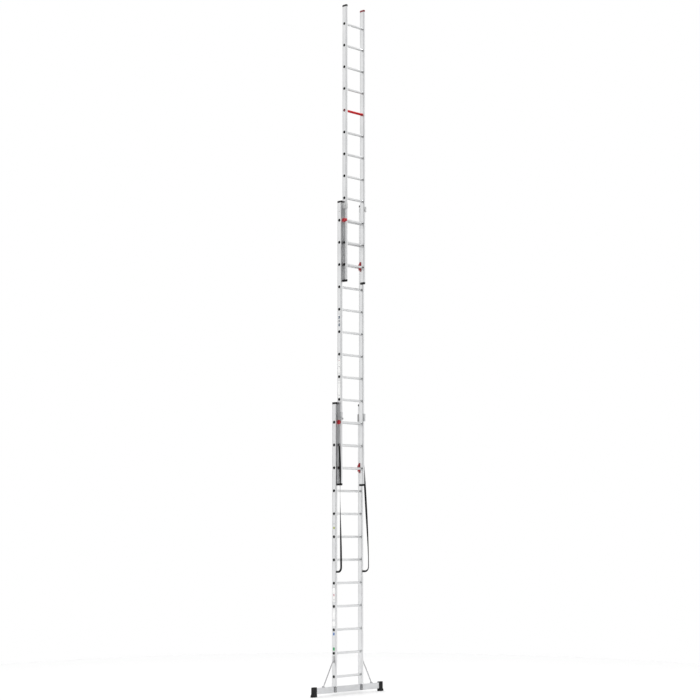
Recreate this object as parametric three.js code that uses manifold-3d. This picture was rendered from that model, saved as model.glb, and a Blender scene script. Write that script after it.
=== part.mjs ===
// A three-section aluminium pull-out ladder on a stabiliser crossbar, fully extended.
// Millimetres, +Z up, X across the ladder, the climber stands on the -Y side.
// The origin is at the bottom centre of the whole ladder.
import * as THREE from "three";
import { mergeVertices } from "three/addons/utils/BufferGeometryUtils.js";
import Module from "manifold-3d";

const wasm = await Module();
wasm.setup();

// ---- Driving dimensions -------------------------------------------------
const CUT_GAP = 0.3; // left between a piece and what it is fitted into

const RUNG_PITCH = 280;
const RUNGS = 12; // in each section
const PITCHES_OUT = 9; // each section is pulled out by this many rung pitches
const FIRST_RUNG_Z = 222;
const STILE_ABOVE = 248; // stile above the last rung
const STILE_BELOW = 216; // stile below the first rung of an upper section

const STILE_WIDTH = 25;
const STILE_DEPTH = 70;
const STILE_WALL = 2;
const TOP_HALF_WIDTH = 170;
const SIDE_GAP = 9.5; // between a stile and the one it slides in
const SECTION_STEP_Y = 53; // each upper section lies this far in front

const RUNG_RADIUS = 15;
const RUNG_WALL = 2;
const RUNG_SIDES = 10;
const RUNG_PROUD = 1.2; // swaged rim outside the stile

const GUIDE_CLEAR = 1.5; // running clearance round a sliding stile
const GUIDE_LIP = 5.5; // thickness in front of the sliding stile
const GUIDE_WALL = 15; // thickness beside the sliding stile
const GUIDE_OPEN = 3; // how much of the sliding stile's front the lip leaves open
const GUIDE_CHAMFER = 4;

// The front lip of the upper guides reaches furthest forward, so the planes shift back by half of that.
const FRONT_Y = -(SECTION_STEP_Y + STILE_DEPTH / 2 + GUIDE_CLEAR + GUIDE_LIP);
const BACK_Y = SECTION_STEP_Y + STILE_DEPTH / 2;
const MIDDLE_Y = -(FRONT_Y + BACK_Y) / 2;

const BEAM = { half: 590, depth: 30, bottom: 34, top: 106, wall: 2.5 };
const FOOT = {
  inner: 536, outer: 605, halfDepth: 18, top: 117,
  baseInner: 528, baseOuter: 622, baseHalfDepth: 23, flareTop: 45,
};
const STRUT = {
  radius: 7.5, beamX: 415, beamZ: 112, stileZ: 430,
  shoeHalf: 17, shoeHalfDepth: 12, shoeTop: 120,
  plate: 6, plateHalfDepth: 14, plateBelow: 45, plateAbove: 40,
};

const SECTIONS = {
  bottom: makeSection(2, MIDDLE_Y + SECTION_STEP_Y, 0),
  middle: makeSection(1, MIDDLE_Y, PITCHES_OUT),
  top: makeSection(0, MIDDLE_Y - SECTION_STEP_Y, 2 * PITCHES_OUT),
};
SECTIONS.bottom.low = BEAM.top + CUT_GAP; // the bottom stiles stand on the beam

function makeSection(widthSteps, y, pitchesUp) {
  const first = FIRST_RUNG_Z + pitchesUp * RUNG_PITCH;
  return {
    half: TOP_HALF_WIDTH + widthSteps * (STILE_WIDTH + SIDE_GAP),
    y,
    first,
    low: first - STILE_BELOW,
    high: first + (RUNGS - 1) * RUNG_PITCH + STILE_ABOVE,
    rungZ: (number) => first + (number - 1) * RUNG_PITCH,
  };
}

// ---- Materials ----------------------------------------------------------
const finish = (color, roughness, metalness) => ({ color, roughness, metalness });
const ALUMINIUM = finish(0xd9dadb, 0.42, 0.85);
const CAST_GREY = finish(0x9ea1a4, 0.55, 0.6);
const SIGNAL_RED = finish(0xb3202a, 0.45, 0.1);
const RUBBER = finish(0x1c1c1e, 0.85, 0);
const WEBBING = finish(0x2b2b2d, 0.95, 0);

const ladder = new THREE.Group();

function addNode(name, geometry, look) {
  const mesh = new THREE.Mesh(geometry, new THREE.MeshStandardMaterial(look));
  mesh.name = name;
  ladder.add(mesh);
}

// ---- Solids -------------------------------------------------------------
function toSolid(geometry) {
  const bare = geometry.clone();
  bare.deleteAttribute("normal");
  bare.deleteAttribute("uv");
  const merged = mergeVertices(bare, 1e-4);
  return new wasm.Manifold(new wasm.Mesh({
    numProp: 3,
    vertProperties: new Float32Array(merged.attributes.position.array),
    triVerts: new Uint32Array(merged.index.array),
  }));
}

function toGeometry(solid) {
  const mesh = solid.getMesh();
  return new THREE.BufferGeometry()
    .setAttribute("position", new THREE.BufferAttribute(mesh.vertProperties, 3))
    .setIndex(new THREE.BufferAttribute(mesh.triVerts, 1));
}

function box(low, high) {
  const size = high.map((v, i) => v - low[i]);
  const middle = high.map((v, i) => (v + low[i]) / 2);
  return new THREE.BoxGeometry(...size).translate(...middle);
}

function rodAlongX(radius, from, to, y, z, sides) {
  return new THREE.CylinderGeometry(radius, radius, to - from, sides)
    .rotateZ(Math.PI / 2)
    .translate((from + to) / 2, y, z);
}

// An outline in the XY plane raised along Z.
function prismAlongZ(points, low, high) {
  const outline = new THREE.Shape(points.map(([x, y]) => new THREE.Vector2(x, y)));
  return new THREE.ExtrudeGeometry(outline, { depth: high - low, bevelEnabled: false })
    .translate(0, 0, low);
}

// An outline in the YZ plane given thickness along X.
function plateAlongX(outline, from, to) {
  return new THREE.ExtrudeGeometry(outline, { depth: to - from, bevelEnabled: false })
    .applyMatrix4(new THREE.Matrix4().makeBasis(
      new THREE.Vector3(0, 1, 0), new THREE.Vector3(0, 0, 1), new THREE.Vector3(1, 0, 0)))
    .translate(from, 0, 0);
}

// A piece is drawn for the +X side; the other side is its mirror image.
function addPair(name, geometryForSide, look) {
  for (const [side, sign] of [["left", -1], ["right", 1]])
    addNode(`${side}_${name}`, geometryForSide(sign), look);
}

function mirrored(geometry, sign) {
  if (sign > 0) return geometry;
  const flipped = toSolid(geometry).mirror([1, 0, 0]);
  return toGeometry(flipped);
}

// ---- Stiles and rungs ---------------------------------------------------
function stile(section, sign) {
  const outer = section.half;
  const inner = outer - STILE_WIDTH;
  const front = section.y - STILE_DEPTH / 2;
  const back = section.y + STILE_DEPTH / 2;
  const profile = new THREE.Shape([
    [inner, front], [outer, front], [outer, back], [inner, back],
  ].map(([x, y]) => new THREE.Vector2(x, y)));
  profile.holes.push(new THREE.Path([
    [inner + STILE_WALL, front + STILE_WALL], [inner + STILE_WALL, back - STILE_WALL],
    [outer - STILE_WALL, back - STILE_WALL], [outer - STILE_WALL, front + STILE_WALL],
  ].map(([x, y]) => new THREE.Vector2(x, y))));
  const height = section.high - section.low;
  const tube = new THREE.ExtrudeGeometry(profile, { depth: height, bevelEnabled: false })
    .translate(0, 0, section.low);
  let solid = toSolid(tube);
  for (let number = 1; number <= RUNGS; number++) {
    const hole = rodAlongX(RUNG_RADIUS + CUT_GAP, inner - 1, outer + 1,
      section.y, section.rungZ(number), RUNG_SIDES);
    solid = solid.subtract(toSolid(hole));
  }
  return mirrored(toGeometry(solid), sign);
}

function rung(section, number) {
  const reach = section.half + RUNG_PROUD;
  const wall = toSolid(rodAlongX(RUNG_RADIUS, -reach, reach,
    section.y, section.rungZ(number), RUNG_SIDES));
  const bore = toSolid(rodAlongX(RUNG_RADIUS - RUNG_WALL, -reach - 1, reach + 1,
    section.y, section.rungZ(number), RUNG_SIDES));
  return toGeometry(wall.subtract(bore));
}

const RED_RUNG = { section: "top", number: 8 };
for (const [name, section] of Object.entries(SECTIONS)) {
  addPair(`${name}_stile`, (sign) => stile(section, sign), ALUMINIUM);
  for (let number = 1; number <= RUNGS; number++) {
    const isRed = name === RED_RUNG.section && number === RED_RUNG.number;
    const label = String(number).padStart(2, "0");
    addNode(`${name}_rung_${label}`, rung(section, number), isRed ? SIGNAL_RED : ALUMINIUM);
  }
}

// ---- Crossbar, its feet and its struts ------------------------------------
function crossbar() {
  const y = SECTIONS.bottom.y;
  const half = BEAM.depth / 2;
  const outside = toSolid(box([-BEAM.half, y - half, BEAM.bottom], [BEAM.half, y + half, BEAM.top]));
  const inside = toSolid(box(
    [-BEAM.half - 1, y - half + BEAM.wall, BEAM.bottom + BEAM.wall],
    [BEAM.half + 1, y + half - BEAM.wall, BEAM.top - BEAM.wall]));
  return toGeometry(outside.subtract(inside));
}

// A block whose lower rectangle is larger than its upper one.
function flaredBlock(low, high, height) {
  const block = box([low.x0, low.y0, 0], [low.x1, low.y1, height]);
  const at = block.attributes.position;
  for (let i = 0; i < at.count; i++) {
    if (at.getZ(i) < height / 2) continue;
    at.setX(i, at.getX(i) < (low.x0 + low.x1) / 2 ? high.x0 : high.x1);
    at.setY(i, at.getY(i) < (low.y0 + low.y1) / 2 ? high.y0 : high.y1);
  }
  return block;
}

function foot(sign) {
  const y = SECTIONS.bottom.y;
  const upper = { x0: FOOT.inner, x1: FOOT.outer, y0: y - FOOT.halfDepth, y1: y + FOOT.halfDepth };
  const base = {
    x0: FOOT.baseInner, x1: FOOT.baseOuter,
    y0: y - FOOT.baseHalfDepth, y1: y + FOOT.baseHalfDepth,
  };
  const cap = toSolid(box([upper.x0, upper.y0, FOOT.flareTop / 2], [upper.x1, upper.y1, FOOT.top]));
  const flare = toSolid(flaredBlock(base, upper, FOOT.flareTop));
  const socket = toSolid(box(
    [FOOT.baseInner - 1, y - BEAM.depth / 2 - CUT_GAP, BEAM.bottom - CUT_GAP],
    [BEAM.half + CUT_GAP, y + BEAM.depth / 2 + CUT_GAP, BEAM.top + CUT_GAP]));
  return mirrored(toGeometry(cap.add(flare).subtract(socket)), sign);
}

function strut(sign) {
  const y = SECTIONS.bottom.y;
  const face = SECTIONS.bottom.half + CUT_GAP;
  const low = new THREE.Vector3(STRUT.beamX, y, STRUT.beamZ);
  const high = new THREE.Vector3(face + STRUT.plate / 2, y, STRUT.stileZ);
  const along = high.clone().sub(low);
  const tube = new THREE.CylinderGeometry(STRUT.radius, STRUT.radius, along.length(), 10);
  tube.applyQuaternion(new THREE.Quaternion()
    .setFromUnitVectors(new THREE.Vector3(0, 1, 0), along.clone().normalize()));
  tube.translate(...low.clone().add(high).divideScalar(2).toArray());
  const shoe = box([STRUT.beamX - STRUT.shoeHalf, y - STRUT.shoeHalfDepth, BEAM.top + CUT_GAP],
    [STRUT.beamX + STRUT.shoeHalf, y + STRUT.shoeHalfDepth, STRUT.shoeTop]);
  const plate = box([face, y - STRUT.plateHalfDepth, STRUT.stileZ - STRUT.plateBelow],
    [face + STRUT.plate, y + STRUT.plateHalfDepth, STRUT.stileZ + STRUT.plateAbove]);
  // The tube is cut off where it would run on into the stile and the beam.
  const room = 4 * STRUT.radius;
  const pastStile = box([face - 2 * room, y - room, STRUT.stileZ - 2 * room],
    [face, y + room, STRUT.stileZ + 2 * room]);
  const pastBeam = box([STRUT.beamX - 2 * room, y - room, BEAM.bottom],
    [STRUT.beamX + 2 * room, y + room, BEAM.top + CUT_GAP]);
  const solid = toSolid(tube).add(toSolid(shoe)).add(toSolid(plate))
    .subtract(toSolid(pastStile)).subtract(toSolid(pastBeam));
  return mirrored(toGeometry(solid), sign);
}

addNode("crossbar", crossbar(), ALUMINIUM);
addPair("foot", foot, RUBBER);
addPair("strut", strut, ALUMINIUM);

// ---- Guides that hold one section in the next -----------------------------
// Seen from above: a flange bolted inside the lower stile, a side wall beside the
// sliding stile, and a lip in front of it. A horn may stand forward of the lip.
function guide(lower, upper, shape, sign) {
  const lowerFront = lower.y - STILE_DEPTH / 2 - CUT_GAP;
  const upperFront = upper.y - STILE_DEPTH / 2 - GUIDE_CLEAR;
  const upperOuter = upper.half + GUIDE_CLEAR;
  const flangeX = lower.half - STILE_WIDTH - CUT_GAP;
  const wallX = upperOuter + GUIDE_WALL;
  const flangeBack = lower.y + shape.flangeReach;
  const lipX = upper.half - STILE_WIDTH + GUIDE_OPEN;
  const lipFront = upperFront - GUIDE_LIP;
  const outline = [
    [wallX, lowerFront], [flangeX, lowerFront], [flangeX, flangeBack],
    [upperOuter, flangeBack], [upperOuter, upperFront], [lipX, upperFront], [lipX, lipFront],
    [wallX - GUIDE_CHAMFER, lipFront], [wallX, lipFront + GUIDE_CHAMFER],
  ];
  let solid = toSolid(prismAlongZ(outline, shape.low, shape.high));
  if (shape.horn) {
    const { width, reach, height } = shape.horn;
    solid = solid.add(toSolid(box([lipX, lipFront - reach, shape.low],
      [lipX + width, lipFront + 1, shape.low + height])));
  }
  return mirrored(toGeometry(solid), sign);
}

const STOP_RADIUS = 27;
const LOWER_GUIDE = {
  low: SECTIONS.bottom.rungZ(RUNGS) + STOP_RADIUS + 2, // the stop's head rests just below it
  high: SECTIONS.bottom.high - 126,
  flangeReach: 34,
  horn: { width: 13, reach: 16, height: 26 },
};
const UPPER_GUIDE = { low: SECTIONS.middle.high - 104, high: SECTIONS.middle.high - 34, flangeReach: 14 };

addPair("bottom_guide", (sign) => guide(SECTIONS.bottom, SECTIONS.middle, LOWER_GUIDE, sign), CAST_GREY);
addPair("middle_guide", (sign) => guide(SECTIONS.middle, SECTIONS.top, UPPER_GUIDE, sign), CAST_GREY);

// ---- Stops: a rod through a hollow rung, with a red head in each side gap --
const STOP_RUNG = 3;
const STOP_ROD_RADIUS = 11;
const STOP_SIDES = 20;
const STOP_CLEAR = 0.8; // between a head and the plane of the stile it passes

function stopRod(section) {
  const inside = section.half + RUNG_PROUD + CUT_GAP;
  const outside = section.half + SIDE_GAP - STOP_CLEAR;
  const chamfer = 2;
  const half = [
    [STOP_ROD_RADIUS, inside], [STOP_RADIUS, inside], [STOP_RADIUS, outside - chamfer],
    [STOP_RADIUS - chamfer, outside], [0, outside],
  ];
  const profile = [
    ...half.map(([r, x]) => new THREE.Vector2(r, -x)).reverse(),
    ...half.map(([r, x]) => new THREE.Vector2(r, x)),
  ];
  return new THREE.LatheGeometry(profile, STOP_SIDES)
    .rotateZ(-Math.PI / 2)
    .translate(0, section.y, section.rungZ(STOP_RUNG));
}

for (const name of ["middle", "top"]) addNode(`${name}_stop_rod`, stopRod(SECTIONS[name]), SIGNAL_RED);

// ---- Rung hooks -----------------------------------------------------------
// A hook pivots low down on the upper stile and reaches back over the lower section's rung.
// Coordinates are (y, z) from the middle of that lower rung.
const HOOK = {
  thickness: 8, besideStile: 0.5, pivotY: -27, pivotZ: -42, eyeRadius: 11, opensBy: 16, clearance: 1,
};

function hookOutline() {
  const outline = new THREE.Shape();
  outline.moveTo(HOOK.pivotY - HOOK.eyeRadius, HOOK.pivotZ);
  outline.absarc(HOOK.pivotY, HOOK.pivotZ, HOOK.eyeRadius, Math.PI, 2 * Math.PI, false);
  outline.lineTo(4, -29);
  outline.lineTo(4, 33);
  outline.lineTo(-24, 70);
  outline.lineTo(-34, 70);
  outline.closePath();
  return outline;
}

// The room that a rung at (y, z) sweeps in the hook's own frame while the hook opens.
function sweptRung(y, z) {
  const steps = 5;
  let room = null;
  for (let step = 0; step < steps; step++) {
    const turn = -THREE.MathUtils.degToRad(HOOK.opensBy) * step / (steps - 1);
    const dy = y - HOOK.pivotY;
    const dz = z - HOOK.pivotZ;
    const rod = toSolid(rodAlongX(RUNG_RADIUS + HOOK.clearance, -1, HOOK.thickness + 1,
      HOOK.pivotY + dy * Math.cos(turn) - dz * Math.sin(turn),
      HOOK.pivotZ + dy * Math.sin(turn) + dz * Math.cos(turn), 16));
    room = room ? room.add(rod) : rod;
  }
  return room;
}

function hook(upper, lower, sign) {
  const plate = toSolid(plateAlongX(hookOutline(), 0, HOOK.thickness))
    .subtract(sweptRung(0, 0))
    .subtract(sweptRung(-SECTION_STEP_Y, 0));
  const outer = upper.half - STILE_WIDTH - HOOK.besideStile;
  const largest = plate.decompose().sort((a, b) => b.volume() - a.volume())[0];
  const placed = toGeometry(largest).translate(outer - HOOK.thickness, lower.y, upper.first);
  return mirrored(placed, sign);
}

addPair("middle_hook", (sign) => hook(SECTIONS.middle, SECTIONS.bottom, sign), SIGNAL_RED);
addPair("top_hook", (sign) => hook(SECTIONS.top, SECTIONS.middle, sign), SIGNAL_RED);

// ---- Spread straps ----------------------------------------------------------
// Webbing from the middle section's second rung end, down to the front of the bottom stile.
// It starts flat against the side of one stile, turns as it hangs, and curls back into the other.
const STRAP = { width: 25, thickness: 2, steps: 72 };
const STRAP_ROUTE = [
  [207.2, -5.5, 3036], [207.2, -6.5, 3000], [207.6, -12.5, 2880], [210, -18.5, 2760],
  [213.5, -24.5, 2640], [217.5, -31, 2520], [222.5, -37.5, 2380], [227, -43.5, 2240],
  [231.5, -51.5, 2080], [235, -59.5, 1920], [237.5, -66, 1760], [239, -70, 1630], [239, -70.5, 1575],
  [238.7, -70.5, 1535], [238, -66.2, 1513.6], [236.5, -54.1, 1495.4], [234.5, -35.9, 1483.3],
  [232.5, -14.5, 1479], [231.5, 2, 1479], [231, 16.8, 1479],
];
// How far it has turned, in degrees, at a share of its length.
const STRAP_TURNS = [[0, 0], [0.16, 0], [0.38, -45], [0.86, 24], [1, 18]];

function strapTurn(at) {
  const next = STRAP_TURNS.findIndex(([share]) => share >= at && share > 0);
  const [from, fromTurn] = STRAP_TURNS[next - 1];
  const [to, toTurn] = STRAP_TURNS[next];
  const eased = (THREE.MathUtils.smoothstep(at, from, to) + (at - from) / (to - from)) / 2;
  return THREE.MathUtils.degToRad(THREE.MathUtils.lerp(fromTurn, toTurn, eased));
}

function strap(sign) {
  const route = new THREE.CatmullRomCurve3(STRAP_ROUTE.map(([x, y, z]) =>
    new THREE.Vector3(x, y + MIDDLE_Y, z)), false, "centripetal");
  const corners = [[1, 1], [-1, 1], [-1, -1], [1, -1]];
  const points = [];
  for (let step = 0; step <= STRAP.steps; step++) {
    const at = step / STRAP.steps;
    const middle = route.getPointAt(at);
    const along = route.getTangentAt(at);
    const turn = strapTurn(at);
    const sideways = new THREE.Vector3(1, 0, 0);
    const across = sideways.clone().cross(along).multiplyScalar(Math.cos(turn))
      .addScaledVector(sideways, Math.sin(turn));
    across.addScaledVector(along, -across.dot(along)).normalize();
    const through = along.clone().cross(across);
    for (const [u, v] of corners)
      points.push(...middle.clone()
        .addScaledVector(across, u * STRAP.width / 2)
        .addScaledVector(through, v * STRAP.thickness / 2).toArray());
  }
  const faces = [0, 2, 1, 0, 3, 2];
  for (let step = 0; step < STRAP.steps; step++)
    for (let side = 0; side < 4; side++) {
      const a = step * 4 + side;
      const b = step * 4 + (side + 1) % 4;
      faces.push(a, b, b + 4, a, b + 4, a + 4);
    }
  const last = STRAP.steps * 4;
  faces.push(last, last + 1, last + 2, last, last + 2, last + 3);
  const webbing = new THREE.BufferGeometry()
    .setAttribute("position", new THREE.Float32BufferAttribute(points, 3))
    .setIndex(faces);
  return mirrored(webbing, sign);
}

addPair("strap", strap, WEBBING);

export default ladder;
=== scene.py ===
"""A three-section aluminium extension ladder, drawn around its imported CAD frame.

Metres, +Z up, X across the ladder, the climber on the -Y side. Sizes come from the frame's
own boxes. What repeats (stiles, rungs, caps, bolts) is made by a loop.
"""
import math

import bmesh
import bpy
from mathutils import Matrix, Vector


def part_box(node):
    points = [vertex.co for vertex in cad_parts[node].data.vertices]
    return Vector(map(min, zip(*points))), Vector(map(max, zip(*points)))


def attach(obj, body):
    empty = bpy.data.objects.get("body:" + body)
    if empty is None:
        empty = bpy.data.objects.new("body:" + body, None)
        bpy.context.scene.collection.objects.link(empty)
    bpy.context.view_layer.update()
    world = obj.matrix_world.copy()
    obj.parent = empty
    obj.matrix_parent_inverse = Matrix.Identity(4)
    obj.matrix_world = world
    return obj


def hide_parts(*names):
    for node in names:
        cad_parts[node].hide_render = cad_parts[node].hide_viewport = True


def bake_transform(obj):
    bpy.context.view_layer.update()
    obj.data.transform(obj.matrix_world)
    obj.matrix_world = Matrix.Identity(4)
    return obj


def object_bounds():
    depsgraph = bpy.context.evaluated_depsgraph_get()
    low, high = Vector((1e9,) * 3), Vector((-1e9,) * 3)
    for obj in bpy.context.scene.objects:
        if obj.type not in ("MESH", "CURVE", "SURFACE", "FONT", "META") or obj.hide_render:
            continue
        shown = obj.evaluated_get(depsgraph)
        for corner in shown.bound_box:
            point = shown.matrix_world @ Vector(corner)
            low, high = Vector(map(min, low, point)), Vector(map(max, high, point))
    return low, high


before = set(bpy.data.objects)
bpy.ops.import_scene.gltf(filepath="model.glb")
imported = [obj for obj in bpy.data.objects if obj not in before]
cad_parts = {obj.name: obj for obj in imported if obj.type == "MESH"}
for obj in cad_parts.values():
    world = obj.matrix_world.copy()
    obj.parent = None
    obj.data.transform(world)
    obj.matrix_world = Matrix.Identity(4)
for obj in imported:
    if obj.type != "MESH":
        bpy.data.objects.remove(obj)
cad_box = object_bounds()

MM = 0.001
SECTIONS = ("bottom", "middle", "top")
SIDES = (("left", -1), ("right", 1))
RUNGS = 12


def body_name(section):
    return section + "_section"


# -------------------------------- camera

CAMERA_AZIMUTH = math.radians(45.404)  # from the -Y side towards the -X side
CAMERA_AIM = math.radians(45.368)  # where it looks, measured the same way
CAMERA_DISTANCE = 20.09
CAMERA_HEIGHT = 1.93
CAMERA_PITCH = math.radians(6.475)
CAMERA_LENS_MM = 83.6
CAMERA_SENSOR_MM = 36
CAMERA_SEES_TO = 200


def make_camera():
    data = bpy.data.cameras.new("camera")
    data.lens = CAMERA_LENS_MM
    data.sensor_width = CAMERA_SENSOR_MM
    data.clip_end = CAMERA_SEES_TO
    camera = bpy.data.objects.new("camera", data)
    bpy.context.scene.collection.objects.link(camera)
    inwards = Vector((math.sin(CAMERA_AZIMUTH), math.cos(CAMERA_AZIMUTH), 0))
    camera.location = -CAMERA_DISTANCE * inwards + Vector((0, 0, CAMERA_HEIGHT))
    ahead = Vector((math.sin(CAMERA_AIM), math.cos(CAMERA_AIM), math.tan(CAMERA_PITCH)))
    camera.rotation_mode = "QUATERNION"
    camera.rotation_quaternion = ahead.normalized().to_track_quat("-Z", "Y")
    bpy.context.scene.camera = camera


make_camera()


# -------------------------------- node materials

class Paint:
    """A small helper that builds one node material."""

    def __init__(self, name):
        self.material = bpy.data.materials.new(name)
        self.material.use_nodes = True
        self.tree = self.material.node_tree
        self.shader = self.tree.nodes["Principled BSDF"]

    def node(self, kind, **settings):
        made = self.tree.nodes.new(kind)
        for key, value in settings.items():
            setattr(made, key, value)
        return made

    def link(self, source, target):
        self.tree.links.new(source, target)

    def place(self, scale=(1, 1, 1)):
        """Object coordinates, stretched by scale."""
        coordinates = self.node("ShaderNodeTexCoord")
        mapping = self.node("ShaderNodeMapping")
        mapping.inputs["Scale"].default_value = scale
        self.link(coordinates.outputs["Object"], mapping.inputs["Vector"])
        return mapping.outputs["Vector"]

    def noise(self, scale, detail=3, stretch=(1, 1, 1), roughness=0.5):
        noise = self.node("ShaderNodeTexNoise")
        noise.inputs["Scale"].default_value = scale
        noise.inputs["Detail"].default_value = detail
        noise.inputs["Roughness"].default_value = roughness
        self.link(self.place(stretch), noise.inputs["Vector"])
        return noise.outputs["Fac"]

    def ramp(self, value, low, high, start=0.3, end=0.7):
        """A number run from low to high as value goes from start to end."""
        ranged = self.node("ShaderNodeMapRange")
        ranged.inputs["From Min"].default_value = start
        ranged.inputs["From Max"].default_value = end
        ranged.inputs["To Min"].default_value = low
        ranged.inputs["To Max"].default_value = high
        self.link(value, ranged.inputs["Value"])
        return ranged.outputs["Result"]

    def mix(self, factor, first, second):
        mixed = self.node("ShaderNodeMix", data_type="RGBA")
        for key, colour in (("A", first), ("B", second)):
            socket = [s for s in mixed.inputs if s.identifier == key + "_Color"][0]
            if isinstance(colour, tuple):
                socket.default_value = (*colour, 1)
            else:
                self.link(colour, socket)
        self.link(factor, mixed.inputs["Factor"])
        return [s for s in mixed.outputs if s.identifier == "Result_Color"][0]

    def math(self, operation, first, second):
        made = self.node("ShaderNodeMath", operation=operation)
        for socket, value in zip(made.inputs, (first, second)):
            if isinstance(value, (int, float)):
                socket.default_value = value
            else:
                self.link(value, socket)
        return made.outputs["Value"]

    def bump(self, height, distance, strength=1.0):
        bump = self.node("ShaderNodeBump")
        bump.inputs["Distance"].default_value = distance
        bump.inputs["Strength"].default_value = strength
        self.link(height, bump.inputs["Height"])
        self.link(bump.outputs["Normal"], self.shader.inputs["Normal"])

    def set(self, **values):
        names = {"colour": "Base Color", "metal": "Metallic", "rough": "Roughness"}
        for key, value in values.items():
            socket = self.shader.inputs[names[key]]
            if isinstance(value, tuple):
                socket.default_value = (*value, 1)
            elif isinstance(value, (int, float)):
                socket.default_value = value
            else:
                self.link(value, socket)


def extruded_aluminium(name, along, bright, dark):
    """Mill-finish extrusion: fine die lines along one axis, handling marks and cloudy patches."""
    paint = Paint(name)
    die_lines = tuple(6 if axis == along else 700 for axis in "XYZ")
    scuff_marks = tuple(90 if axis == along else 35 for axis in "XYZ")
    streaks = paint.noise(1, 4, die_lines)
    clouds = paint.noise(5, 4)
    scuffs = paint.noise(1, 2, scuff_marks, 0.8)
    tone = paint.math("MULTIPLY", paint.ramp(clouds, 0, 1), paint.ramp(streaks, 0.75, 1))
    paint.set(colour=paint.mix(tone, dark, bright), metal=1.0)
    worn = paint.ramp(scuffs, 0, 0.12, start=0.62, end=0.74)
    paint.set(rough=paint.math("ADD", paint.ramp(streaks, 0.3, 0.46), worn))
    paint.bump(streaks, 0.05 * MM, 0.6)
    return paint.material


def cast_metal(name, bright, dark):
    """Zinc-coated or cast metal: a fine grain and soft patches."""
    paint = Paint(name)
    grain = paint.noise(900, 3)
    clouds = paint.noise(40, 3)
    paint.set(colour=paint.mix(paint.ramp(clouds, 0, 1), dark, bright), metal=0.7)
    paint.set(rough=paint.ramp(grain, 0.48, 0.66))
    paint.bump(grain, 0.12 * MM)
    return paint.material


def moulded(name, bright, dark, rough=(0.4, 0.55), grain_mm=0.05, specular=0.5, glow=0.0):
    """Moulded plastic, rubber or a coat of paint, with a fine orange-peel grain; glow paints light onto
    it as a glow of its own.
    """
    paint = Paint(name)
    grain = paint.noise(1500, 2)
    clouds = paint.noise(30, 4)
    paint.set(colour=paint.mix(paint.ramp(clouds, 0, 1), dark, bright), metal=0.0)
    paint.set(rough=paint.ramp(grain, *rough))
    paint.shader.inputs["Specular IOR Level"].default_value = specular
    paint.shader.inputs["Emission Color"].default_value = (1, 1, 1, 1)
    paint.shader.inputs["Emission Strength"].default_value = glow
    paint.bump(grain, grain_mm * MM)
    return paint.material


def webbing(name):
    """Black polyester webbing: diagonal yarns across its width, and a dusty sheen."""
    paint = Paint(name)
    weave = paint.node("ShaderNodeTexWave", wave_type="BANDS", bands_direction="DIAGONAL")
    weave.inputs["Scale"].default_value = 190
    weave.inputs["Distortion"].default_value = 1.5
    paint.link(paint.place(), weave.inputs["Vector"])
    dust = paint.noise(60, 4)
    tone = paint.math("MULTIPLY", weave.outputs["Fac"], paint.ramp(dust, 0.4, 1))
    paint.set(colour=paint.mix(tone, (0.005, 0.005, 0.0055), (0.028, 0.028, 0.030)), metal=0.0)
    paint.set(rough=paint.ramp(dust, 0.75, 0.95))
    paint.bump(weave.outputs["Fac"], 0.3 * MM)
    paint.shader.inputs["Sheen Weight"].default_value = 0.06
    paint.shader.inputs["Specular IOR Level"].default_value = 0.25
    return paint.material


STILE_METAL = extruded_aluminium("stile_aluminium", "Z", (0.82, 0.825, 0.83), (0.74, 0.745, 0.75))
BEAM_METAL = extruded_aluminium("beam_aluminium", "X", (0.71, 0.715, 0.725), (0.62, 0.625, 0.635))
RUNG_METAL = extruded_aluminium("rung_aluminium", "X", (0.80, 0.805, 0.81), (0.70, 0.705, 0.71))
STRUT_METAL = cast_metal("strut_metal", (0.66, 0.66, 0.67), (0.54, 0.54, 0.55))
GREY_PLASTIC = moulded("grey_plastic", (0.44, 0.445, 0.45), (0.36, 0.365, 0.37))
GUIDE_PLATE = moulded("guide_plate", (0.72, 0.73, 0.74), (0.62, 0.63, 0.64))
PALE_GUIDE = moulded("pale_guide", (0.80, 0.80, 0.80), (0.70, 0.71, 0.71))
SADDLE_METAL = cast_metal("saddle_grey", (0.36, 0.365, 0.38), (0.26, 0.265, 0.28))
STEEL = cast_metal("zinc_steel", (0.62, 0.62, 0.60), (0.42, 0.42, 0.41))
# Near black and dull: painted shade standing in for the unlit bore of an open rung tube, put on the
# rungs' end plugs.
PLUG_PAINTED_BORE_SHADE = moulded("rung_plug", (0.006, 0.006, 0.006), (0.003, 0.003, 0.003), (0.6, 0.75), specular=0.08)
RED_PLASTIC = moulded("red_moulding", (0.50, 0.024, 0.036), (0.38, 0.016, 0.025))
RED_KNOB = moulded("red_knob", (0.76, 0.045, 0.06), (0.60, 0.032, 0.045))
RED_PAINT = moulded("red_paint", (0.74, 0.024, 0.03), (0.60, 0.016, 0.02), (0.45, 0.6), specular=0.2)
# Also the red rung's end plug, where this dark red is painted shade of the red tube's unlit bore.
DARK_RED = moulded("dark_red_plastic", (0.22, 0.016, 0.02), (0.15, 0.01, 0.014))
BLACK_PLASTIC = moulded("black_plastic", (0.014, 0.014, 0.015), (0.008, 0.008, 0.008), specular=0.35)
RUBBER = moulded("foot_rubber", (0.018, 0.018, 0.019), (0.008, 0.008, 0.009), (0.62, 0.85),
                 grain_mm=0.15, specular=0.3)
WEBBING = webbing("strap_webbing")
PAPER_ROUGH = (0.3, 0.4)
PAPER_GRAIN_MM = 0.01
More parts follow.
